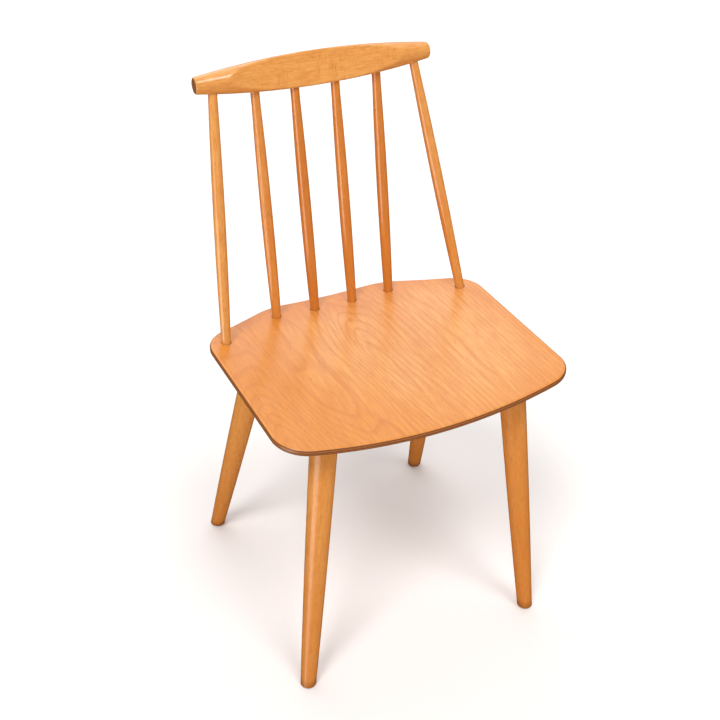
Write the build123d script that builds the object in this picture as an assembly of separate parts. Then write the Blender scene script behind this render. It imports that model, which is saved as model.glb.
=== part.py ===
from build123d import *
import math
import os

# Spindle-back dining chair: a moulded plywood seat on four turned legs, and a back of
# six turned spindles under a turned top rail with a scooped front.
#
# Frame: origin on the floor, in the middle of the chair's footprint. +Z is up and the
# sitter faces -Y. "Left" and "right" are as seen by someone standing in front of it.
# All lengths are millimetres.


def mirrored(point, side):
    """The same point on the given side of the chair."""
    return (side * point[0],) + tuple(point[1:])


# ---- driving dimensions ---------------------------------------------------------------
SEAT_THICKNESS = 10.0
SEAT_CENTRE_Z = 423.8          # top of the seat on the centre line, at the inner spindles
SEAT_FRONT_RISE = 0.0157       # rise towards the front, per unit of depth
DISH_RADIUS = 1406.0           # hollow across the seat, sides higher than the middle
SEAT_EDGE_ROUND = 4.2

SEAT_FRONT_Y = -215.65
FRONT_CORNER = (212.5, -196.0)
REAR_CORNER = (215.3, 93.9)
KNEE = (93.6, 160.6)           # where the straight rear edge turns towards the corner
FRONT_CORNER_ROUND = 44.7
REAR_CORNER_ROUND = 60.0
KNEE_ROUND = 106.6

RAIL_HALF_LENGTH = 173.0
RAIL_Y = 180.2
RAIL_Z = 772.6
RAIL_MID_RADIUS = 23.4
RAIL_END_RADIUS = 11.2
RAIL_END_ROUND = 1.6
SCOOP_RADIUS = 641.0           # hollow in the rail's front, against the sitter's back
SCOOP_DEPTH_LEFT = 4.3         # from the rail's axis to the scoop, in the middle
SCOOP_TILT = 21.7              # degrees that the scoop faces upwards

SPINDLE_ROW_Y = 129.2          # the four middle spindles stand in one line
OUTER_SPINDLE = (187.3, 78.3)
SPINDLES = {                   # foot on the seat, and X where the axis meets the rail's
    "left_outer": (mirrored(OUTER_SPINDLE, -1), -147.9),
    "left_middle": ((-91.5, SPINDLE_ROW_Y), -89.8),
    "left_inner": ((-30.5, SPINDLE_ROW_Y), -32.5),
    "right_inner": ((30.5, SPINDLE_ROW_Y), 27.6),
    "right_middle": ((91.5, SPINDLE_ROW_Y), 91.0),
    "right_outer": (OUTER_SPINDLE, 147.9),
}
SPINDLE_FOOT_RADIUS = 6.7
SPINDLE_BELLY_RADIUS = 8.1
SPINDLE_TOP_RADIUS = 6.2
BELLY_AT = 0.32                # fraction of the visible height
SPINDLE_PLAIN_END = 2.5        # length of plain cylinder at either end
FOOT_TENON = 19.0              # below the top of the seat
TOP_TENON_END = -8.5           # from the rail's axis, where the scoop leaves the wood thin
OUTER_TENON_END = 1.5          # from the rail's axis, beyond the scoop
SOCKET_GROOVE = 0.5            # open ring round a spindle's foot, in width
SOCKET_GROOVE_DEPTH = 1.0

LEG_FEET = {"front": (183.2, -179.5), "rear": (188.1, 204.2)}
LEG_TOPS = {"front": (138.4, -153.3), "rear": (144.6, 61.0)}
LEG_TOP_Z = 423.0              # height at which LEG_TOPS are given
LEG_FOOT_RADIUS = 11.2
LEG_MIDDLE_RADIUS = 15.7
LEG_TOP_RADIUS = 18.5
LEG_FOOT_CHAMFER = 1.3
LEG_SPARE = 6.0                # turned past the floor, then cut level with it
LEG_TENON_RADIUS = 12.0

CLEAT_UNDERSIDE = {"front": 407.0, "rear": 398.0}
CLEAT_HALF_LENGTH = {"front": 156.0, "rear": 166.0}
CLEAT_HALF_WIDTH = 20.0
CLEAT_CORNER_ROUND = 8.0
CLEAT_SCREWS_X = (-85.0, 0.0, 85.0)

BATTEN_HALF_WIDTH = 14.0
BATTEN_THICKNESS = 15.0
BATTEN_OVERHANG = 3.0          # past the outer spindles, before its rounded end
BATTEN_SCREWS_X = (-61.0, 0.0, 61.0)

SCREW_SHANK_RADIUS = 2.0
SCREW_HEAD_RADIUS = 4.0
SCREW_HEAD_HEIGHT = 2.6
SCREW_BITE = 6.5               # length of thread in the plywood
SCREW_POINT = 3.0
SCREW_SINK = 0.4               # of the batten screws' heads, below the batten's underside
DRIVE_RADIUS = 1.3
DRIVE_DEPTH = 1.4

SIDES = {"left": -1, "right": 1}
REACH = 600.0                  # longer than half the chair in any direction
NEAR = 0.5                     # two points closer than this are the same


# ---- helpers --------------------------------------------------------------------------
def save(node, shape):
    """Write one node's solids to its own STEP file."""
    export_step(shape, f"parts/{node}.step")


def along(start, end):
    """Plane at start whose normal points to end."""
    return Plane(origin=start, z_dir=Vector(*end) - Vector(*start))


def rod(start, end, radius):
    """Plain cylinder from start to end."""
    length = (Vector(*end) - Vector(*start)).length
    return along(start, end) * Cylinder(radius, length, align=(Align.CENTER, Align.CENTER, Align.MIN))


def point_on(foot, top, z):
    """Point at height z on the line from foot to top."""
    share = (z - foot[2]) / (top[2] - foot[2])
    return tuple(a + share * (b - a) for a, b in zip(foot, top))


def turned(profile, foot, direction):
    """Revolve a profile drawn as (radius, distance from foot) and stand it along direction."""
    blank = revolve(Plane.XZ * profile, Axis.Z)
    return Plane(origin=foot, z_dir=direction) * blank


# ---- seat -----------------------------------------------------------------------------
def seat_top_z(x, y):
    """Height of the seat's top face."""
    dish = DISH_RADIUS - math.sqrt(DISH_RADIUS**2 - x**2)
    return SEAT_CENTRE_Z + dish + SEAT_FRONT_RISE * (SPINDLE_ROW_Y - y)


def dish_tool(depth):
    """Long cylinder whose lowest line lies the given depth below the seat's top face."""
    axis = Vector(0, 1, -SEAT_FRONT_RISE)
    centre = Vector(0, SPINDLE_ROW_Y, SEAT_CENTRE_Z + DISH_RADIUS)
    start = centre - axis * REACH
    return Plane(origin=start, z_dir=axis) * Cylinder(
        DISH_RADIUS + depth, 2 * REACH, align=(Align.CENTER, Align.CENTER, Align.MIN)
    )


def seat_outline():
    """Plan of the seat: bowed front, straight sides and a rear edge of three straights."""
    front_left, front_right = mirrored(FRONT_CORNER, -1), FRONT_CORNER
    front = ThreePointArc(front_left, (0, SEAT_FRONT_Y), front_right)
    rest = Polyline(
        front_right, REAR_CORNER, KNEE, mirrored(KNEE, -1), mirrored(REAR_CORNER, -1), front_left
    )
    plan = Sketch() + make_face([front] + rest.edges())
    for corner, radius in (
        (FRONT_CORNER, FRONT_CORNER_ROUND),
        (REAR_CORNER, REAR_CORNER_ROUND),
        (KNEE, KNEE_ROUND),
    ):
        pair = [v for v in plan.vertices() if math.dist((abs(v.X), v.Y), corner) < NEAR]
        plan = fillet(pair, radius)
    return plan


def seat_blank():
    """Moulded plywood before drilling, with its edge rounded above and below."""
    block = Pos(0, 0, SEAT_CENTRE_Z - REACH / 2) * extrude(seat_outline(), REACH)
    shell = block & (dish_tool(SEAT_THICKNESS) - dish_tool(0))
    solid = shell.solids().sort_by(SortBy.VOLUME)[-1]
    rims = [e for e in solid.edges() if not is_upright(e)]
    return solid.fillet(SEAT_EDGE_ROUND, rims)


def is_upright(edge):
    """True for an edge that runs down the seat's thickness."""
    start, end = edge @ 0, edge @ 1
    return math.dist((start.X, start.Y), (end.X, end.Y)) < NEAR


# ---- back -----------------------------------------------------------------------------
def spindle_axis(name):
    """Where a spindle's axis meets the seat's top face and the rail's axis."""
    (x, y), top_x = SPINDLES[name]
    return (x, y, seat_top_z(x, y)), (top_x, RAIL_Y, RAIL_Z)


def tenon_ends(name):
    """Ends of the spindle, tenons included."""
    foot, top = spindle_axis(name)
    end = OUTER_TENON_END if "outer" in name else TOP_TENON_END
    return point_on(foot, top, foot[2] - FOOT_TENON), point_on(foot, top, RAIL_Z + end)


def rail_radius_at(x):
    """Radius of the barrel at a distance from the middle."""
    return RAIL_MID_RADIUS - (RAIL_MID_RADIUS - RAIL_END_RADIUS) * (x / RAIL_HALF_LENGTH) ** 2


def spindle(name):
    """Turned spindle: plain at both ends, fullest in its lower third."""
    foot, top = spindle_axis(name)
    low, high = tenon_ends(name)
    length = (Vector(*high) - Vector(*low)).length
    seat_at = FOOT_TENON + SPINDLE_PLAIN_END
    rail_at = length - (Vector(*high) - Vector(*top)).length - rail_radius_at(top[0]) - SPINDLE_PLAIN_END
    belly_at = seat_at + BELLY_AT * (rail_at - seat_at)
    curve = Spline(
        (SPINDLE_FOOT_RADIUS, seat_at), (SPINDLE_BELLY_RADIUS, belly_at), (SPINDLE_TOP_RADIUS, rail_at)
    )
    ends = Polyline(
        (SPINDLE_TOP_RADIUS, rail_at),
        (SPINDLE_TOP_RADIUS, length),
        (0, length),
        (0, 0),
        (SPINDLE_FOOT_RADIUS, 0),
        (SPINDLE_FOOT_RADIUS, seat_at),
    )
    return turned(make_face([curve.edge()] + ends.edges()), low, Vector(*high) - Vector(*low))


def foot_socket(name):
    """Hole for a spindle's foot, through the seat and into the batten, with a groove at its mouth."""
    foot, top = spindle_axis(name)
    low, _ = tenon_ends(name)
    above = point_on(foot, top, foot[2] + 2 * SEAT_THICKNESS)
    groove = rod(low, above, SPINDLE_FOOT_RADIUS + SOCKET_GROOVE) & dish_tool(SOCKET_GROOVE_DEPTH)
    return rod(low, above, SPINDLE_FOOT_RADIUS) + groove


def top_socket(name):
    """Blind hole for a spindle's top, in the underside of the rail."""
    foot, top = spindle_axis(name)
    _, high = tenon_ends(name)
    return rod(point_on(foot, top, RAIL_Z - 2 * RAIL_MID_RADIUS), high, SPINDLE_TOP_RADIUS)


def top_rail():
    """Barrel-shaped turning, scooped in front for the sitter's back."""
    curve = ThreePointArc(
        (-RAIL_HALF_LENGTH, RAIL_END_RADIUS), (0, RAIL_MID_RADIUS), (RAIL_HALF_LENGTH, RAIL_END_RADIUS)
    )
    ends = Polyline(
        (RAIL_HALF_LENGTH, RAIL_END_RADIUS),
        (RAIL_HALF_LENGTH, 0),
        (-RAIL_HALF_LENGTH, 0),
        (-RAIL_HALF_LENGTH, RAIL_END_RADIUS),
    )
    barrel = revolve(make_face([curve.edge()] + ends.edges()), Axis.X)
    rims = barrel.edges().group_by(Axis.X)
    barrel = fillet(rims[0] + rims[-1], RAIL_END_ROUND)
    tilt = math.radians(SCOOP_TILT)
    facing = Vector(0, -math.cos(tilt), math.sin(tilt))
    upwards = Vector(0, math.sin(tilt), math.cos(tilt))
    scoop = Plane(origin=facing * (SCOOP_DEPTH_LEFT + SCOOP_RADIUS), z_dir=upwards) * Cylinder(
        SCOOP_RADIUS, 6 * RAIL_MID_RADIUS
    )
    rail = Pos(0, RAIL_Y, RAIL_Z) * (barrel - scoop)
    for name in SPINDLES:
        rail -= top_socket(name)
    return rail


# ---- underframe -----------------------------------------------------------------------
def leg_axis(row, side):
    """Foot on the floor and head at LEG_TOP_Z, on the leg's axis."""
    foot = (side * LEG_FEET[row][0], LEG_FEET[row][1], 0)
    head = (side * LEG_TOPS[row][0], LEG_TOPS[row][1], LEG_TOP_Z)
    return foot, head


def leg(row, side):
    """Turned leg: tapered with a slight belly, tenoned into the cleat.

    One cone trims it level with the floor, bevels its foot at 45 degrees and ends its
    shoulder at the cleat's underside.
    """
    foot, head = leg_axis(row, side)
    direction = Vector(*head) - Vector(*foot)
    start = tuple(Vector(*foot) - direction.normalized() * LEG_SPARE)
    length = direction.length + LEG_SPARE
    curve = ThreePointArc((LEG_FOOT_RADIUS, 0), (LEG_MIDDLE_RADIUS, length / 2), (LEG_TOP_RADIUS, length))
    rest = Polyline((LEG_TOP_RADIUS, length), (0, length), (0, 0), (LEG_FOOT_RADIUS, 0))
    body = turned(make_face([curve.edge()] + rest.edges()), start, direction)
    shoulder = CLEAT_UNDERSIDE[row]
    flat = LEG_FOOT_RADIUS - LEG_FOOT_CHAMFER
    bevel = Cone(flat, flat + shoulder, shoulder, align=(Align.CENTER, Align.CENTER, Align.MIN))
    body &= Pos(*foot) * bevel
    return body + leg_tenon(row, side)


def leg_tenon(row, side):
    """Round tenon through the cleat, ending flush with its top face."""
    foot, head = leg_axis(row, side)
    low = point_on(foot, head, CLEAT_UNDERSIDE[row] - LEG_TENON_RADIUS)
    high = point_on(foot, head, LEG_TOP_Z + 2 * LEG_TENON_RADIUS)
    above = Pos(0, 0, CLEAT_UNDERSIDE[row] + REACH / 2) * Box(2 * REACH, 2 * REACH, REACH)
    return (rod(low, high, LEG_TENON_RADIUS) & above) - dish_tool(SEAT_THICKNESS)


def cleat_y(row):
    """A cleat lies over the middle of its legs' tenons."""
    foot, head = leg_axis(row, 1)
    return point_on(foot, head, (CLEAT_UNDERSIDE[row] + LEG_TOP_Z) / 2)[1]


def cleat(row):
    """Solid bar under the seat, hollowed to the dish, that takes a pair of legs."""
    plan = RectangleRounded(2 * CLEAT_HALF_LENGTH[row], 2 * CLEAT_HALF_WIDTH, CLEAT_CORNER_ROUND)
    bar = Pos(0, cleat_y(row), CLEAT_UNDERSIDE[row]) * extrude(plan, 2 * CLEAT_HALF_WIDTH)
    bar -= dish_tool(SEAT_THICKNESS)
    for side in SIDES.values():
        bar -= leg_tenon(row, side)
    return bar


def batten_plan():
    """Band under the spindle feet that follows the seat's rear edge."""
    knee = SPINDLES["right_middle"][0]
    end = OUTER_SPINDLE
    run = Vector(end[0] - knee[0], end[1] - knee[1]).normalized()
    tip = (end[0] + run.X * BATTEN_OVERHANG, end[1] + run.Y * BATTEN_OVERHANG)
    centre = Polyline(mirrored(tip, -1), mirrored(knee, -1), knee, tip)
    return make_face(offset(centre, BATTEN_HALF_WIDTH, kind=Kind.ARC).edges())


def spindle_batten():
    """Solid strip glued under the rear of the seat, which gives the spindles their depth."""
    block = Pos(0, 0, SEAT_CENTRE_Z - REACH / 2) * extrude(batten_plan(), REACH)
    return block & (dish_tool(SEAT_THICKNESS + BATTEN_THICKNESS) - dish_tool(SEAT_THICKNESS))


def screw(x, y, head_z):
    """Countersunk wood screw, driven upwards from head_z into the plywood."""
    tip_z = seat_top_z(x, y) - SEAT_THICKNESS + SCREW_BITE
    shank_z = head_z + SCREW_HEAD_HEIGHT
    profile = Polyline(
        (0, head_z),
        (SCREW_HEAD_RADIUS, head_z),
        (SCREW_SHANK_RADIUS, shank_z),
        (SCREW_SHANK_RADIUS, tip_z - SCREW_POINT),
        (0, tip_z),
        (0, head_z),
    )
    body = Pos(x, y, 0) * revolve(Plane.XZ * make_face(profile.edges()), Axis.Z)
    recess = Pos(x, y, head_z) * extrude(RegularPolygon(DRIVE_RADIUS, 6), DRIVE_DEPTH)
    return body - recess


def screw_hole(x, y, head_z):
    """Countersunk hole that the screw fills."""
    tip_z = seat_top_z(x, y) - SEAT_THICKNESS + SCREW_BITE
    filled = screw(x, y, head_z)
    recess = Pos(x, y, head_z) * Cylinder(
        DRIVE_RADIUS, DRIVE_DEPTH, align=(Align.CENTER, Align.CENTER, Align.MIN)
    )
    return filled + recess


def screw_places():
    """For each node of screws, where their heads' faces are."""
    places = {
        f"{row}_cleat_screws": [(x, cleat_y(row), CLEAT_UNDERSIDE[row]) for x in CLEAT_SCREWS_X]
        for row in LEG_FEET
    }
    below_top = SEAT_THICKNESS + BATTEN_THICKNESS - SCREW_SINK
    places["batten_screws"] = [
        (x, SPINDLE_ROW_Y, seat_top_z(x, SPINDLE_ROW_Y) - below_top) for x in BATTEN_SCREWS_X
    ]
    return places


# ---- assembly -------------------------------------------------------------------------
def main():
    os.makedirs("parts", exist_ok=True)
    sockets = [foot_socket(name) for name in SPINDLES]

    for name in SPINDLES:
        save(f"spindle_{name}", spindle(name))
    save("top_rail", top_rail())

    batten = spindle_batten()
    cleats = {row: cleat(row) for row in LEG_FEET}
    cleats["rear"] = cleats["rear"] - batten

    seat = seat_blank()
    for socket in sockets:
        seat -= socket
        batten -= socket
    for node, places in screw_places().items():
        save(node, Compound(children=[screw(*place).solid() for place in places]))
        for place in places:
            hole = screw_hole(*place)
            seat -= hole
            batten -= hole
            cleats["front"] -= hole
            cleats["rear"] -= hole

    save("seat", seat)
    save("spindle_batten", batten)
    for row in LEG_FEET:
        save(f"{row}_cleat", cleats[row])
        for name, side in SIDES.items():
            save(f"{row}_leg_{name}", leg(row, side))


main()
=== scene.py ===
import math

import bpy
import numpy as np
from mathutils import Matrix, Vector


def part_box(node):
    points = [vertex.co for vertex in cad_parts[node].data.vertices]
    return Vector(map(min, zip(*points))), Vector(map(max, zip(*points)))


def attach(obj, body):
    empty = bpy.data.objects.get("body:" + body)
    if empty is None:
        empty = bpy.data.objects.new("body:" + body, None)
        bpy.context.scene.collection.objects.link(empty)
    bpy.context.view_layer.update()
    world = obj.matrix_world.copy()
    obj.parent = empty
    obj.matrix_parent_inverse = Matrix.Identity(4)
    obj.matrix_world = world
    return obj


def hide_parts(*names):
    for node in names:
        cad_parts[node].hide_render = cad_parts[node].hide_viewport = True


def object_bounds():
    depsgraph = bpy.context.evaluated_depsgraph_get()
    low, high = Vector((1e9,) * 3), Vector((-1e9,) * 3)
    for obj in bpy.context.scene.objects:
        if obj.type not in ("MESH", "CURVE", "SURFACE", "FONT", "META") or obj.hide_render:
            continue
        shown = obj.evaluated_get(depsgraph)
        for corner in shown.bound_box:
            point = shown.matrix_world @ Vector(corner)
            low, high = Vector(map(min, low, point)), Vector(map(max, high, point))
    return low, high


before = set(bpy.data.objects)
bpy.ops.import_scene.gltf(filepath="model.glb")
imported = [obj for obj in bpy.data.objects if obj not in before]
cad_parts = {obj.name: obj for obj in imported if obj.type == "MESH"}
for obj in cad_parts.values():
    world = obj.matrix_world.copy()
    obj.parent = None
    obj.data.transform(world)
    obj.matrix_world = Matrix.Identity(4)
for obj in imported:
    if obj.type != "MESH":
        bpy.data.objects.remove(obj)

# Spindle-back dining chair in honey-coloured, lacquered beech. Metres, in the frame of the
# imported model: +Z up, the sitter faces -Y, origin on the floor under the middle of the chair.

# ---- driving values -------------------------------------------------------------------
CAMERA_AZIMUTH = math.radians(25.17)       # to the left of the chair's front
CAMERA_ELEVATION = math.radians(33.68)
CAMERA_ROLL = math.radians(0.04)
CAMERA_DISTANCE = 1.644
CAMERA_TARGET_Y = 0.0354
CAMERA_TARGET_HEIGHT = 0.4775              # share of the chair's height
CAMERA_LENS_MM = 56.25

FLOOR_RADIUS = 10.0
FLOOR_SIDES = 64
SWEEP_RADIUS = 6.0                         # the floor curves up at its rim, like a studio cove
SWEEP_TURN = math.radians(75)
SWEEP_STEPS = 12
FLOOR_COLOUR = (0.80, 0.782, 0.778, 1)

# Light. A key is a name, the compass direction that it comes from, its elevation in degrees,
# its strength and its colour.
KEYS = (
    ("key_left", (-0.76, -0.65), 55, 1.60, (1.0, 0.99, 0.97)),
    ("key_front", (0.19, -0.98), 60, 1.00, (1.0, 0.99, 0.98)),
)
KEY_SOFTNESS = math.radians(20)            # apparent width of a key light
# A patch of the surroundings is the direction of its centre, the angles from there, in degrees,
# at which it ends and is full, and its brightness. The last one lies mostly below the horizon,
# so it lights little and shows mainly as the highlights of the turned pieces.
ROOM = ((0, 0, 1), 92, 84, 0.24)
CEILING = ((0.22, 0.60, 1), 60, 28, 0.94)
BACKDROP = ((0.06, 0.95, 0.66), 32, 8, 0.90)
FRONT_REFLECTION = ((-0.82, -0.30, -0.24), 31, 12, 5.0)
SURROUNDINGS_COLOUR = (1.0, 0.995, 0.99, 1)

# The seat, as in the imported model.
SEAT_THICKNESS = 0.0100
SEAT_EDGE_ROUND = 0.0042
SEAT_DISH_RADIUS = 1.406
SEAT_SLOPE = 0.0157
PLIES = 7.0
SPINDLE_FOOT_RADIUS = 0.0067
FOOT_SHADE_WIDTH = 0.0022                       # painted shade: dark line round a spindle's foot, where it meets the seat
SHEEN_CENTRE = (0.05, 0.01, 0)                   # middle of the painted sheen, a paler area standing in for the backdrop mirrored in the lacquer

RAIL_VOXEL = 0.0011
RAIL_SMOOTHING = 6                         # passes

# Finish and figure of the wood.
LACQUER_IOR = 1.5
LACQUER_ROUGHNESS = 0.18
RELIEF = 0.0002                            # depth of an open pore
ZINC_RELIEF = 0.0001
SEED_STEP = (0.37, 0.21, 1.7)              # how far one seed moves the grain
SPINDLE_SEED, LEG_SEED, BAR_SEED, RAIL_SEED = 1, 11, 21, 31
SPINDLE_TURN, LEG_TURN, BAR_TURN, RAIL_TURN = 0.9, 1.3, 0.4, 0.5     # of the grain, in radians
RING_WANDER = 2.6                          # how far a growth ring strays, in ring widths
FIGURE_LINES = 36.0                        # lines of the seat's figure over the whole noise
QUARTER_LINES_PER_METRE = 150.0

# Linear colours of the wood, and of what is on it or between its plies.
PALE = (0.75, 0.345, 0.088, 1)
HONEY = (0.69, 0.250, 0.042, 1)
AMBER = (0.52, 0.150, 0.020, 1)
ORANGE = (0.66, 0.236, 0.026, 1)
# Painted sheen: the paler colour that stands in for the lacquer's reflection in the middle of the seat.
SHEEN_PALE = (0.77, 0.395, 0.160, 1)
BROWN = (0.20, 0.060, 0.018, 1)
BARE = ((0.72, 0.38, 0.16, 1), (0.58, 0.27, 0.095, 1))
END_GRAIN = ((0.36, 0.15, 0.058, 1), (0.24, 0.095, 0.04, 1))
CROSS_PLY = ((0.15, 0.045, 0.010, 1), (0.22, 0.070, 0.016, 1))
LONG_PLY = ((0.33, 0.105, 0.022, 1), (0.42, 0.145, 0.034, 1))
GLUE = (0.07, 0.020, 0.007, 1)
ZINC = ((0.72, 0.60, 0.36, 1), (0.50, 0.42, 0.28, 1))

# How deep the colour of each turned piece is: 0 pale, 1 amber. Some of these values are partly painted
# light and shade.
RAIL_TONE = 0.0
# Painted light: the left outer spindle is palest, standing in for the light it catches; the deep tones of
# the others partly stand in for shade along their edges.
SPINDLE_TONES_AND_LIGHT = (0.70, 0.36, 0.00, 0.62, 0.68, 0.26)     # nodes in order of their names
# Painted shade: the front right leg is deeper, standing in for the lesser light it gets from the left
# key. Painted light: the rear left leg is paler, lifting it out of the seat's shadow.
LEG_TONES_AND_SHADE = {
    "front_leg_left": 0.15,
    "front_leg_right": 0.34,
    "rear_leg_left": 0.05,
    "rear_leg_right": 0.10,
}

CAD_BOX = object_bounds()
CHAIR_HEIGHT = CAD_BOX[1][2] - CAD_BOX[0][2]


# ---- shader building ------------------------------------------------------------------
# The three scales of a noise are features per metre: twice across the grain, then along it.
# The two levels of a range are where on the noise an effect starts and is full.
class Tree:
    """Short names for the few node kinds that the materials use."""

    def __init__(self, name):
        self.material = bpy.data.materials.new(name)
        self.material.use_nodes = True
        self.nodes = self.material.node_tree.nodes
        self.links = self.material.node_tree.links
        self.shader = self.nodes["Principled BSDF"]

    def add(self, kind, **settings):
        node = self.nodes.new(kind)
        for key, value in settings.items():
            setattr(node, key, value)
        return node

    def feed(self, socket, value):
        """Link value to socket, or set it there if it is a plain number or colour."""
        if isinstance(value, bpy.types.NodeSocket):
            self.links.new(value, socket)
        else:
            socket.default_value = value

    def math(self, operation, a, b=0.0, clamp=False):
        node = self.add("ShaderNodeMath", operation=operation, use_clamp=clamp)
        for socket, value in zip(node.inputs, (a, b)):
            self.feed(socket, value)
        return node.outputs[0]

    def times(self, a, b):
        return self.math("MULTIPLY", a, b)

    def mix(self, share, a, b):
        """Colour a turned into colour b by a share."""
        node = self.add("ShaderNodeMix", data_type="RGBA")
        self.feed(node.inputs["Factor"], share)
        self.feed(node.inputs[6], a)
        self.feed(node.inputs[7], b)
        return node.outputs[2]

    def tint(self, colour, mask, strength, over):
        """Colour turned into another where a mask is 1, by the given strength."""
        return self.mix(self.times(mask, strength), colour, over)

    def range(self, value, low, high, to_low=0.0, to_high=1.0, smooth=True):
        node = self.add("ShaderNodeMapRange", clamp=True)
        node.interpolation_type = "SMOOTHSTEP" if smooth else "LINEAR"
        for socket, item in zip(node.inputs, (value, low, high, to_low, to_high)):
            self.feed(socket, item)
        return node.outputs[0]

    def scaled(self, vector, x, y, z, shift=(0, 0, 0)):
        node = self.add("ShaderNodeMapping")
        self.feed(node.inputs["Vector"], vector)
        node.inputs["Scale"].default_value = (x, y, z)
        node.inputs["Location"].default_value = shift
        return node.outputs[0]

    def noise(self, vector, detail=2.0, roughness=0.5):
        node = self.add("ShaderNodeTexNoise")
        self.feed(node.inputs["Vector"], vector)
        node.inputs["Scale"].default_value = 1.0
        node.inputs["Detail"].default_value = detail
        node.inputs["Roughness"].default_value = roughness
        return node.outputs[0]

    def cells(self, vector):
        """Distance from the nearest of many scattered points, and that point's own random value."""
        node = self.add("ShaderNodeTexVoronoi")
        self.feed(node.inputs["Vector"], vector)
        node.inputs["Scale"].default_value = 1.0
        value = self.add("ShaderNodeSeparateColor")
        self.feed(value.inputs[0], node.outputs["Color"])
        return node.outputs["Distance"], value.outputs[0]

    def place(self):
        """Coordinates on the chair, in metres."""
        return self.add("ShaderNodeTexCoord").outputs["Object"]

    def split(self, vector):
        node = self.add("ShaderNodeSeparateXYZ")
        self.feed(node.inputs[0], vector)
        return node.outputs

    def vector_math(self, operation, a, b):
        node = self.add("ShaderNodeVectorMath", operation=operation)
        self.feed(node.inputs[0], a)
        node.inputs[1].default_value = tuple(b)
        return node.outputs["Value" if operation in ("DOT_PRODUCT", "DISTANCE") else 0]

    def bump(self, height, distance, strength):
        node = self.add("ShaderNodeBump")
        node.inputs["Distance"].default_value = distance
        node.inputs["Strength"].default_value = strength
        self.feed(node.inputs["Height"], height)
        self.feed(self.shader.inputs["Normal"], node.outputs[0])


def grain_space(tree, origin, axis, turn, seed):
    """Coordinates in metres with Z along the grain: moved by a seed, and as they are.

    The seed makes no two pieces match.
    """
    along = Vector(axis).normalized()
    side = Matrix.Rotation(turn, 3, along) @ along.orthogonal().normalized()
    moved = tree.vector_math("SUBTRACT", tree.place(), origin)
    joined = tree.add("ShaderNodeCombineXYZ")
    for socket, direction in zip(joined.inputs, (side, along.cross(side), along)):
        tree.feed(socket, tree.vector_math("DOT_PRODUCT", moved, direction))
    plain = joined.outputs[0]
    return tree.vector_math("ADD", plain, Vector(SEED_STEP) * seed), plain


def pores(tree, space):
    """Short dark dashes along the grain, the fine pores and rays of beech."""
    distance, _ = tree.cells(tree.scaled(space, 520, 520, 62))
    chosen = tree.range(tree.noise(tree.scaled(space, 300, 300, 30), 1.0), 0.46, 0.66)
    return tree.times(tree.range(distance, 0.10, 0.24, 1.0, 0.0), chosen)


def streaks(tree, space, across, along):
    """Long fine lines along the grain."""
    return tree.noise(tree.scaled(space, across, across, along), 3.0, 0.62)


def rings(tree, space, spacing, pith):
    """Growth rings of a board cut beside the pith, as thin darker lines."""
    wander = tree.noise(tree.scaled(space, 9, 9, 2.2), 2.0, 0.5)
    x, y, _ = tree.split(space)
    x, y = tree.math("ADD", x, pith[0]), tree.math("ADD", y, pith[1])
    radius = tree.math("SQRT", tree.math("ADD", tree.times(x, x), tree.times(y, y)))
    bent = tree.math("ADD", radius, tree.times(wander, RING_WANDER * spacing))
    phase = tree.math("FRACT", tree.math("DIVIDE", bent, spacing))
    return tree.range(phase, 0.55, 0.97)


def spots_over(tree, colour, where, rarity, size, strength):
    """A few small dark marks of mixed sizes; the rarity is the power that thins them out."""
    distance, value = tree.cells(where)
    reach = tree.times(tree.math("POWER", value, rarity), size)
    return tree.tint(colour, tree.math("LESS_THAN", distance, reach), strength, BROWN)


def finish_wood(tree, colour, relief, roughness, gloss, coat, bump):
    """Lacquer over the wood: gloss that varies a little, and open pores that show as relief."""
    tree.feed(tree.shader.inputs["Base Color"], colour)
    tree.feed(tree.shader.inputs["Roughness"], roughness)
    tree.shader.inputs["Specular IOR Level"].default_value = gloss
    tree.shader.inputs["Coat Weight"].default_value = coat
    tree.shader.inputs["Coat Roughness"].default_value = LACQUER_ROUGHNESS
    tree.shader.inputs["Coat IOR"].default_value = LACQUER_IOR
    tree.bump(relief, RELIEF, bump)


def turned_beech(name, origin, axis, seed, turn, tone_and_painted_light, leg=False, end_grain=False):
    """Lacquered solid beech with its grain along a turned piece.

    The tone runs from 0, the palest wood, to 1, deep amber; for some spindles and legs it also holds
    painted light and shade.
    """
    tree = Tree(name)
    space, plain = grain_space(tree, origin, axis, turn, seed)
    blotch = tree.range(tree.noise(tree.scaled(space, 26, 26, 9), 3.0, 0.55), 0.30, 0.70)
    lines = tree.range(streaks(tree, space, 480, 16), 0.38, 0.72)
    mottle = tree.range(tree.noise(tree.scaled(space, 190, 190, 62), 3.0, 0.65), 0.40, 0.66)
    flecks = tree.range(tree.noise(tree.scaled(space, 420, 420, 90), 2.0, 0.6), 0.56, 0.74)
    ring = rings(tree, space, 0.0036, (0.05, 0.02))
    pore = pores(tree, space)
    colour = tree.mix(blotch, toned(tone_and_painted_light + 0.10), toned(tone_and_painted_light - 0.10))
    for mask, strength in ((mottle, 0.28), (lines, 0.24), (flecks, 0.40), (ring, 0.16)):
        colour = tree.tint(colour, mask, strength, AMBER)
    colour = tree.tint(colour, pore, 0.52, BROWN)
    # Painted shade: the legs darken towards the floor.
    if leg:
        colour = foot_shade_and_line(tree, colour, space)
    if end_grain:
        colour = ray_flecks_over(tree, colour, space)
        colour = end_grain_over(tree, colour, axis, plain)
    rough = tree.range(tree.noise(tree.scaled(space, 40, 40, 12), 3.0), 0.3, 0.7, 0.17, 0.27)
    relief = tree.math("SUBTRACT", tree.times(lines, 0.25), pore)
    finish_wood(tree, colour, relief, rough, gloss=0.30 if leg else 0.50, coat=0.15, bump=0.30)
    return tree.material


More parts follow.
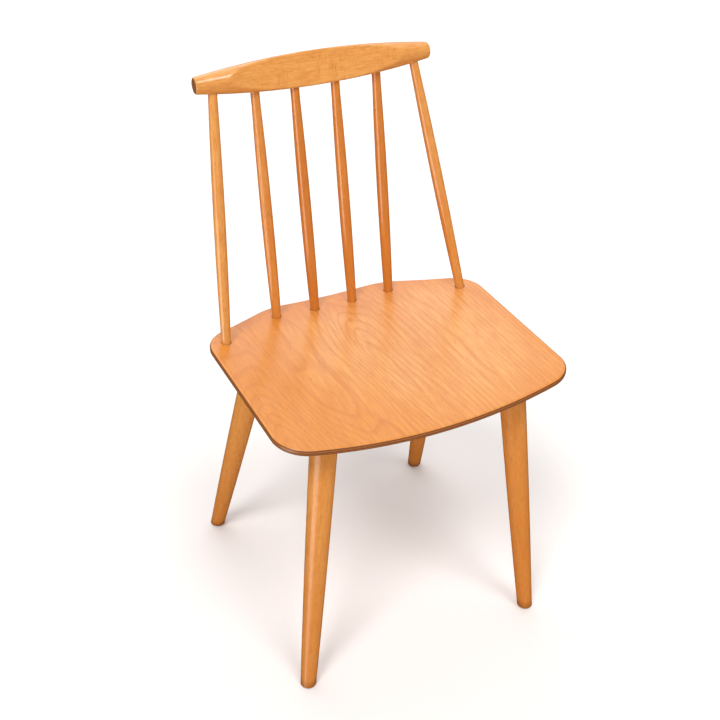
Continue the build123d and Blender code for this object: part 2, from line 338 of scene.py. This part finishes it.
def toned(share):
    """Colour of the wood between PALE at 0, HONEY at a half and AMBER at 1."""
    low, high = (PALE, HONEY) if share < 0.5 else (HONEY, AMBER)
    step = 2 * share - (0 if share < 0.5 else 1)
    step = min(1, max(0, step))
    return tuple(a + step * (b - a) for a, b in zip(low, high))


def foot_shade_and_line(tree, colour, space):
    """Painted shade: the wood darkened towards the floor, where less light reaches, and a ragged dark
    line at the foot.
    """
    height = tree.split(tree.place())[2]
    # Painted shade: darker towards the floor, where less light reaches.
    shade_towards_floor = tree.range(height, 0.02, 0.42, 0.55, 0.0, smooth=False)
    colour = tree.mix(shade_towards_floor, colour, AMBER)
    ragged = tree.times(tree.noise(tree.scaled(space, 60, 60, 30), 3.0), 0.014)
    low = tree.range(tree.math("SUBTRACT", height, ragged), -0.004, 0.012, 0.55, 0.0)
    return tree.mix(low, colour, BROWN)


def ray_flecks_over(tree, colour, space):
    """Fine dark rays that cross the grain of a flat-sawn face, and a few small nicks."""
    rays = tree.range(tree.noise(tree.scaled(space, 42, 42, 560), 2.0, 0.6), 0.52, 0.72)
    patch = tree.range(tree.noise(tree.scaled(space, 34, 34, 22), 2.0), 0.42, 0.62)
    colour = tree.tint(colour, tree.times(rays, patch), 0.60, AMBER)
    return spots_over(tree, colour, tree.scaled(space, 34, 34, 30), rarity=5.0, size=0.10, strength=0.65)


def end_grain_over(tree, colour, axis, plain):
    """Darker, greyer wood where the surface faces along the grain."""
    normal = tree.add("ShaderNodeNewGeometry").outputs["Normal"]
    facing = tree.vector_math("DOT_PRODUCT", normal, Vector(axis).normalized())
    share = tree.range(tree.math("ABSOLUTE", facing), 0.80, 0.97)
    speck = tree.noise(tree.scaled(plain, 900, 900, 900), 2.0)
    return tree.mix(share, colour, tree.mix(tree.range(speck, 0.35, 0.65), *END_GRAIN))


def seat_plywood():
    """Beech-faced plywood: figured veneer running front to back, and its plies along the edge."""
    tree = Tree("seat_plywood")
    space, _ = grain_space(tree, (0, 0, 0), (0, 1, 0), 0.0, 0.0)
    x, y, z = tree.split(tree.place())
    mottle = tree.range(tree.noise(tree.scaled(space, 120, 120, 26), 3.0, 0.6), 0.32, 0.68)
    lines = tree.range(streaks(tree, space, 520, 14), 0.36, 0.70)
    pore = pores(tree, space)
    # Ground colour of the veneer, with painted shade and a painted sheen.
    colour = seat_colour_and_painted_light(tree, space, x, y)
    for mask, strength in (
        (quarter_lines(tree, x), 0.28),
        (flat_sawn_figure(tree, space, x), 0.40),
        (mottle, 0.34),
        (lines, 0.38),
    ):
        colour = tree.tint(colour, mask, strength, AMBER)
    colour = tree.tint(colour, pore, 0.65, BROWN)
    # Painted shade round the spindles' feet.
    colour = shade_round_feet(tree, colour)
    colour = plies_over(tree, colour, depth_in_seat(tree, x, y, z), space)
    where = tree.scaled(space, 24, 24, 24, (0.3, 0.7, 0.2))
    colour = spots_over(tree, colour, where, rarity=6.0, size=0.035, strength=0.75)
    scratch = tree.range(tree.noise(tree.scaled(space, 16, 300, 9), 2.0), 0.71, 0.76)
    rough = tree.range(tree.noise(tree.scaled(space, 18, 18, 10), 3.0), 0.3, 0.7, 0.30, 0.40)
    relief = tree.math("SUBTRACT", tree.times(lines, 0.25), tree.math("ADD", pore, scratch))
    finish_wood(tree, colour, relief, rough, gloss=0.40, coat=0.20, bump=0.25)
    return tree.material


def seat_colour_and_painted_light(tree, space, x, y):
    """Broad patches of the veneer; painted shade makes it deeper to the left, near the edges and at the
    back, and a painted sheen makes it paler in the middle.
    """
    broad = tree.range(tree.noise(tree.scaled(space, 7, 7, 3.4, (1.0, 7.0, 0.0)), 2.0), 0.30, 0.70)
    # Painted shade: deeper to the left, along the side and front rims and at the back.
    left = tree.range(tree.math("ADD", x, tree.times(y, 0.35)), -0.20, 0.06, 0.612, 0.0)
    sides = tree.range(tree.math("ABSOLUTE", x), 0.172, 0.214, 0.0, 0.714)
    front = tree.range(y, -0.205, -0.150, 0.34, 0.0)
    back = tree.range(y, 0.070, 0.140, 0.0, 0.935)
    painted_shade = tree.math("MAXIMUM", tree.math("MAXIMUM", left, sides), tree.math("MAXIMUM", front, back))
    colour = tree.mix(painted_shade, tree.mix(broad, ORANGE, PALE), ORANGE)
    # Painted sheen: paler round the middle of the seat, standing in for the backdrop mirrored in the
    # lacquer.
    away = tree.vector_math("DISTANCE", tree.scaled(tree.place(), 1, 1, 0), SHEEN_CENTRE)
    colour = tree.mix(tree.range(away, 0.06, 0.23, 0.38, 0.0), colour, SHEEN_PALE)
    # Painted shade: deeper still towards the back.
    return tree.mix(tree.range(y, 0.075, 0.135, 0.0, 0.30), colour, AMBER)


def flat_sawn_figure(tree, space, x):
    """Level lines of a broad field drawn out along the grain; they fade towards the right side."""
    field = tree.noise(tree.scaled(space, 6.0, 6.0, 1.5, (3.1, 0.4, 5.2)), 2.0, 0.45)
    level = tree.math("FRACT", tree.times(field, FIGURE_LINES))
    line = tree.times(tree.range(level, 0.50, 0.88), tree.range(level, 0.88, 1.0, 1.0, 0.0))
    return tree.times(line, tree.range(x, 0.10, 0.16, 1.0, 0.25))


def quarter_lines(tree, x):
    """Close straight lines beside the right side, where the veneer is cut across the rings."""
    line = tree.range(tree.math("FRACT", tree.times(x, QUARTER_LINES_PER_METRE)), 0.3, 0.9)
    return tree.times(line, tree.range(x, 0.11, 0.17))


def depth_in_seat(tree, x, y, z):
    """Share of the thickness below the top face, which is dished across and slopes along."""
    dish = tree.math("DIVIDE", tree.times(x, x), 2 * SEAT_DISH_RADIUS)
    slope = tree.times(y, -SEAT_SLOPE)
    face = tree.math("ADD", tree.math("ADD", dish, slope), seat_centre_top())
    return tree.math("DIVIDE", tree.math("SUBTRACT", face, z), SEAT_THICKNESS)


def shade_round_feet(tree, colour):
    """Painted shade: dark lines on the seat round the spindles' feet, where they meet it."""
    flat = tree.scaled(tree.place(), 1, 1, 0)
    edge = SPINDLE_FOOT_RADIUS + FOOT_SHADE_WIDTH
    foot_shade = 0.0
    for node in spindle_nodes():
        end, axis = long_axis(node)
        face = seat_centre_top() + end.x ** 2 / (2 * SEAT_DISH_RADIUS) - SEAT_SLOPE * end.y
        foot = end + axis * (face - end.z) / axis.z
        away = tree.vector_math("DISTANCE", flat, (foot.x, foot.y, 0))
        near = tree.range(away, SPINDLE_FOOT_RADIUS, edge, 0.75, 0.0)
        foot_shade = tree.math("MAXIMUM", near, foot_shade)
    return tree.mix(foot_shade, colour, BROWN)


def seat_centre_top():
    """Height of the seat's top face on the centre line at y = 0, from the node's box."""
    low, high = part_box("seat")
    return low.z + SEAT_THICKNESS + SEAT_SLOPE * (high.y - SEAT_EDGE_ROUND)


def plies_over(tree, colour, depth, space):
    """Cross plies and dark glue lines, which show only where the rounded edge cuts them."""
    ply = tree.times(depth, PLIES)
    below_face = tree.range(ply, 0.9, 1.0)
    above_back = tree.range(ply, PLIES - 1.0, PLIES - 0.9, 1.0, 0.0)
    odd = tree.math("FRACT", tree.math("DIVIDE", ply, 2.0))
    cross = tree.times(tree.range(odd, 0.47, 0.53), tree.range(odd, 0.97, 1.0, 1.0, 0.0))
    level = tree.math("FRACT", ply)
    below, above = tree.range(level, 0.0, 0.10, 1.0, 0.0), tree.range(level, 0.90, 1.0)
    line = tree.math("ADD", below, above, clamp=True)
    grainy = tree.range(tree.noise(tree.scaled(space, 700, 700, 700), 2.0), 0.3, 0.7)
    layers = tree.mix(cross, tree.mix(grainy, *LONG_PLY), tree.mix(grainy, *CROSS_PLY))
    layers = tree.tint(layers, line, 0.8, GLUE)
    return tree.mix(tree.times(below_face, above_back), colour, layers)


def planed_beech(name, seed):
    """Straight planed beech of the underframe, thinly lacquered."""
    low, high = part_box(name)
    tree = Tree(name)
    space, _ = grain_space(tree, (low + high) / 2, (1, 0, 0), BAR_TURN, seed)
    lines = tree.range(streaks(tree, space, 300, 6), 0.35, 0.70)
    ring = rings(tree, space, 0.006, (0.09, 0.05))
    pore = pores(tree, space)
    colour = tree.tint(tree.mix(lines, *BARE), ring, 0.25, AMBER)
    colour = tree.tint(colour, pore, 0.5, BROWN)
    colour = end_grain_over(tree, colour, (1, 0, 0), space)
    rough = tree.range(tree.noise(tree.scaled(space, 60, 60, 20), 3.0), 0.3, 0.7, 0.42, 0.58)
    relief = tree.math("SUBTRACT", lines, pore)
    finish_wood(tree, colour, relief, rough, gloss=0.25, coat=0.05, bump=0.4)
    return tree.material


def zinc_steel():
    """Yellow zinc on steel, dulled in patches."""
    tree = Tree("screw_steel")
    patch = tree.noise(tree.scaled(tree.place(), 700, 700, 700), 3.0)
    tree.feed(tree.shader.inputs["Base Color"], tree.mix(tree.range(patch, 0.3, 0.7), *ZINC))
    tree.feed(tree.shader.inputs["Roughness"], tree.range(patch, 0.3, 0.7, 0.28, 0.5))
    tree.shader.inputs["Metallic"].default_value = 1.0
    tree.bump(patch, ZINC_RELIEF, 0.3)
    return tree.material


# ---- placing materials ----------------------------------------------------------------
def spindle_nodes():
    return sorted(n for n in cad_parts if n.startswith("spindle_") and n != "spindle_batten")


def long_axis(node):
    """Lower end and direction of a slender node's own axis."""
    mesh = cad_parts[node].data
    points = np.array([v.co for v in mesh.vertices])
    middle = points.mean(0)
    direction = np.linalg.svd(points - middle, full_matrices=False)[2][0]
    if direction[2] < 0:
        direction = -direction
    reach = (points - middle) @ direction
    return Vector(middle + direction * reach.min()), Vector(direction)


def paint(node, material):
    """Put one material in every slot of a CAD node."""
    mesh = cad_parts[node].data
    if not mesh.materials:
        mesh.materials.append(material)
    for index in range(len(mesh.materials)):
        mesh.materials[index] = material


def paint_turned_nodes():
    for seed, node in enumerate(spindle_nodes(), start=SPINDLE_SEED):
        origin, axis = long_axis(node)
        tone_and_painted_light = SPINDLE_TONES_AND_LIGHT[seed - SPINDLE_SEED]
        paint(node, turned_beech(node, origin, axis, seed, SPINDLE_TURN * seed, tone_and_painted_light))
    legs = sorted(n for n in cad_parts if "_leg_" in n)
    for seed, node in enumerate(legs, start=LEG_SEED):
        origin, axis = long_axis(node)
        turn = LEG_TURN * seed
        paint(node, turned_beech(node, origin, axis, seed, turn, LEG_TONES_AND_SHADE[node], leg=True))


def paint_underframe():
    for seed, node in enumerate(("front_cleat", "rear_cleat", "spindle_batten"), start=BAR_SEED):
        paint(node, planed_beech(node, seed))
    steel = zinc_steel()
    for node in ("front_cleat_screws", "rear_cleat_screws", "batten_screws"):
        paint(node, steel)


def softened_rail():
    """The top rail with its scoop's rim eased by hand sanding, as the real one is."""
    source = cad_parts["top_rail"]
    rail = bpy.data.objects.new("sanded_top_rail", source.data.copy())
    bpy.context.scene.collection.objects.link(rail)
    remesh = rail.modifiers.new("even_faces", "REMESH")
    remesh.mode = "VOXEL"
    remesh.voxel_size = RAIL_VOXEL
    smooth = rail.modifiers.new("ease_edges", "SMOOTH")
    smooth.factor = 0.5
    smooth.iterations = RAIL_SMOOTHING
    shown = rail.evaluated_get(bpy.context.evaluated_depsgraph_get())
    rail.data = bpy.data.meshes.new_from_object(shown)
    rail.modifiers.clear()
    for polygon in rail.data.polygons:
        polygon.use_smooth = True
    low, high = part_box("top_rail")
    middle = (low + high) / 2
    material = turned_beech(
        "top_rail", middle, (1, 0, 0), RAIL_SEED, RAIL_TURN, RAIL_TONE, end_grain=True
    )
    rail.data.materials.clear()
    rail.data.materials.append(material)
    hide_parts("top_rail")
    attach(rail, "root")


# ---- studio ---------------------------------------------------------------------------
def floor():
    """Plain white floor that curves up at its rim, so that no horizon shows."""
    mesh = bpy.data.meshes.new("floor")
    bends = [SWEEP_TURN * step / SWEEP_STEPS for step in range(SWEEP_STEPS + 1)]
    loops = [(FLOOR_RADIUS + SWEEP_RADIUS * math.sin(a), SWEEP_RADIUS * (1 - math.cos(a))) for a in bends]
    turns = [2 * math.pi * step / FLOOR_SIDES for step in range(FLOOR_SIDES)]
    corners = [(r * math.cos(turn), r * math.sin(turn), z) for r, z in loops for turn in turns]
    faces = [tuple(range(FLOOR_SIDES))]
    for low in range(0, SWEEP_STEPS * FLOOR_SIDES, FLOOR_SIDES):
        for step in range(FLOOR_SIDES):
            after = (step + 1) % FLOOR_SIDES
            faces.append((low + step, low + after, low + FLOOR_SIDES + after, low + FLOOR_SIDES + step))
    mesh.from_pydata(corners, [], faces)
    for face in mesh.polygons:
        face.use_smooth = len(face.vertices) == 4
    ground = bpy.data.objects.new("floor", mesh)
    bpy.context.scene.collection.objects.link(ground)
    tree = Tree("floor")
    tree.shader.inputs["Base Color"].default_value = FLOOR_COLOUR
    tree.shader.inputs["Roughness"].default_value = 0.9
    tree.shader.inputs["Specular IOR Level"].default_value = 0.1
    mesh.materials.append(tree.material)
    ground.visible_glossy = False          # the lacquer mirrors the darker room instead


def key_light(name, toward, elevation, strength, colour):
    """Large, distant soft light from a compass direction, at an elevation in degrees."""
    light = bpy.data.lights.new(name, "SUN")
    light.energy = strength
    light.angle = KEY_SOFTNESS
    light.color = colour
    lamp = bpy.data.objects.new(name, light)
    rise = math.radians(elevation)
    flat = Vector((toward[0], toward[1], 0)).normalized()
    direction = flat * math.cos(rise) + Vector((0, 0, math.sin(rise)))
    lamp.rotation_euler = (-direction).to_track_quat("-Z", "Y").to_euler()
    bpy.context.scene.collection.objects.link(lamp)


def glow(nodes, links, where, direction, edge, core, strength):
    """Brightness of a soft-edged patch of surroundings, centred on a direction.

    edge and core are the angles from its centre at which the patch ends and reaches full strength.
    """
    facing = nodes.new("ShaderNodeVectorMath")
    facing.operation = "DOT_PRODUCT"
    links.new(where, facing.inputs[0])
    facing.inputs[1].default_value = Vector(direction).normalized()
    spread = nodes.new("ShaderNodeMapRange")
    spread.interpolation_type = "SMOOTHSTEP"
    links.new(facing.outputs["Value"], spread.inputs["Value"])
    spread.inputs["From Min"].default_value = math.cos(math.radians(edge))
    spread.inputs["From Max"].default_value = math.cos(math.radians(core))
    spread.inputs["To Max"].default_value = strength
    return spread.outputs[0]


def studio_light():
    """Two soft keys from the front, a pale ceiling and a white backdrop in an otherwise dim room."""
    for key in KEYS:
        key_light(*key)
    world = bpy.data.worlds.new("studio")
    world.use_nodes = True
    nodes, links = world.node_tree.nodes, world.node_tree.links
    where = nodes.new("ShaderNodeTexCoord").outputs["Generated"]
    total = glow(nodes, links, where, *ROOM)
    for patch in (CEILING, BACKDROP, FRONT_REFLECTION):
        more = nodes.new("ShaderNodeMath")
        links.new(total, more.inputs[0])
        links.new(glow(nodes, links, where, *patch), more.inputs[1])
        total = more.outputs[0]
    links.new(total, nodes["Background"].inputs["Strength"])
    nodes["Background"].inputs["Color"].default_value = SURROUNDINGS_COLOUR
    bpy.context.scene.world = world


def camera():
    """Standing viewpoint in front and to the left, looking down on the seat."""
    data = bpy.data.cameras.new("camera")
    data.lens = CAMERA_LENS_MM
    data.sensor_width = 36.0
    data.clip_end = 100.0
    eye = bpy.data.objects.new("camera", data)
    outward = Vector((
        -math.sin(CAMERA_AZIMUTH) * math.cos(CAMERA_ELEVATION),
        -math.cos(CAMERA_AZIMUTH) * math.cos(CAMERA_ELEVATION),
        math.sin(CAMERA_ELEVATION),
    ))
    target = Vector((0, CAMERA_TARGET_Y, CAMERA_TARGET_HEIGHT * CHAIR_HEIGHT))
    look = (-outward).to_track_quat("-Z", "Y").to_matrix().to_4x4()
    roll = Matrix.Rotation(CAMERA_ROLL, 4, "Z")
    eye.matrix_world = Matrix.Translation(target + outward * CAMERA_DISTANCE) @ look @ roll
    bpy.context.scene.collection.objects.link(eye)
    bpy.context.scene.camera = eye


# ---- assembly -------------------------------------------------------------------------
paint_turned_nodes()
paint_underframe()
paint("seat", seat_plywood())
softened_rail()
floor()
studio_light()
camera()
bpy.context.scene.view_settings.view_transform = "Standard"
